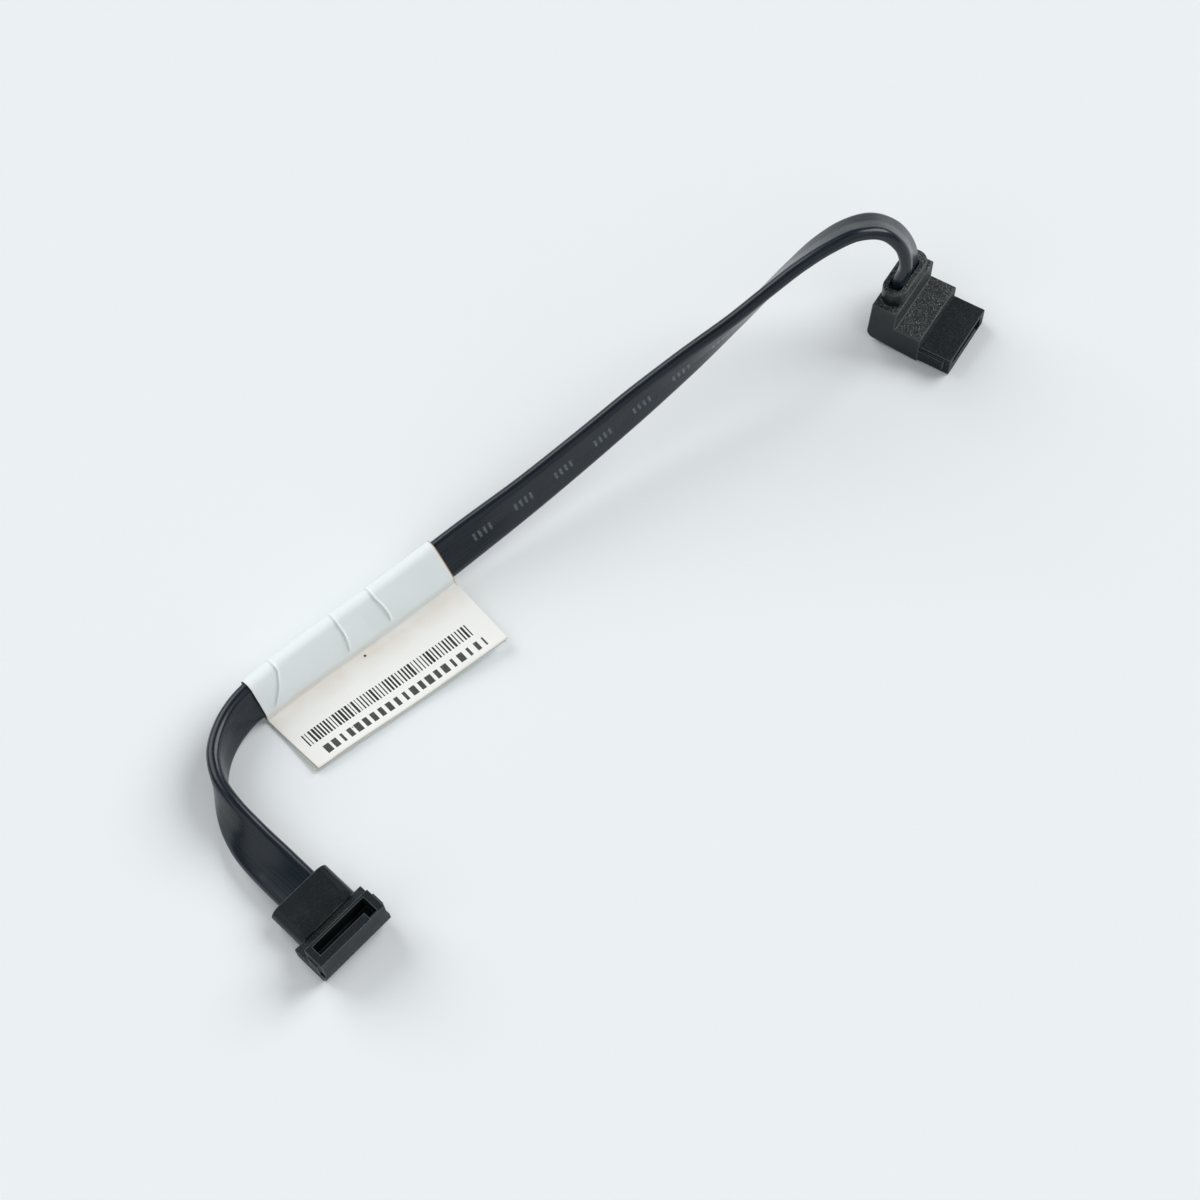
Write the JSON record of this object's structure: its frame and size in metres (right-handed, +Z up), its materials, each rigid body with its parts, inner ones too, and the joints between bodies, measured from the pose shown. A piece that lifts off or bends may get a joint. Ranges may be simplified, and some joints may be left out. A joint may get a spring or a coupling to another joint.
{
  "type": "sata data cable",
  "caption": "Short flat black ribbon cable with a keyed right-angle plug at each end and a white paper label folded round it as a flag.",
  "frame": {"origin": "on the table, under the middle of the box round the two plugs", "axes": "+X runs along the cable towards the upright plug, -Y is the way that plug's mating face looks, +Z is up"},
  "size_m": [0.1673, 0.0687, 0.0285],
  "materials": {
    "cable_sheath": "semi-gloss soft plastic",
    "moulding": "coarse matte moulding",
    "nylon": "matte",
    "contact_plating": "gold plated",
    "tinned_wire": "tinned copper",
    "label_paper": "satin coated paper"
  },
  "bodies": {
    "root": {"ribbon_cable": "cable_sheath", "label": "label_paper", "upright_plug_overmould": "moulding", "upright_plug_housing": "nylon", "upright_plug_contact_1": "contact_plating", "upright_plug_drain_wire_1": "tinned_wire", "upright_plug_contact_2": "contact_plating", "upright_plug_signal_wire_2": "tinned_wire", "upright_plug_contact_3": "contact_plating", "upright_plug_signal_wire_3": "tinned_wire", "upright_plug_contact_4": "contact_plating", "upright_plug_drain_wire_4": "tinned_wire", "upright_plug_contact_5": "contact_plating", "upright_plug_signal_wire_5": "tinned_wire", "upright_plug_contact_6": "contact_plating", "upright_plug_signal_wire_6": "tinned_wire", "upright_plug_contact_7": "contact_plating", "upright_plug_drain_wire_7": "tinned_wire", "low_plug_overmould": "moulding", "low_plug_housing": "nylon", "low_plug_contact_1": "contact_plating", "low_plug_drain_wire_1": "tinned_wire", "low_plug_contact_2": "contact_plating", "low_plug_signal_wire_2": "tinned_wire", "low_plug_contact_3": "contact_plating", "low_plug_signal_wire_3": "tinned_wire", "low_plug_contact_4": "contact_plating", "low_plug_drain_wire_4": "tinned_wire", "low_plug_contact_5": "contact_plating", "low_plug_signal_wire_5": "tinned_wire", "low_plug_contact_6": "contact_plating", "low_plug_signal_wire_6": "tinned_wire", "low_plug_contact_7": "contact_plating", "low_plug_drain_wire_7": "tinned_wire"}
  },
  "joints": []
}
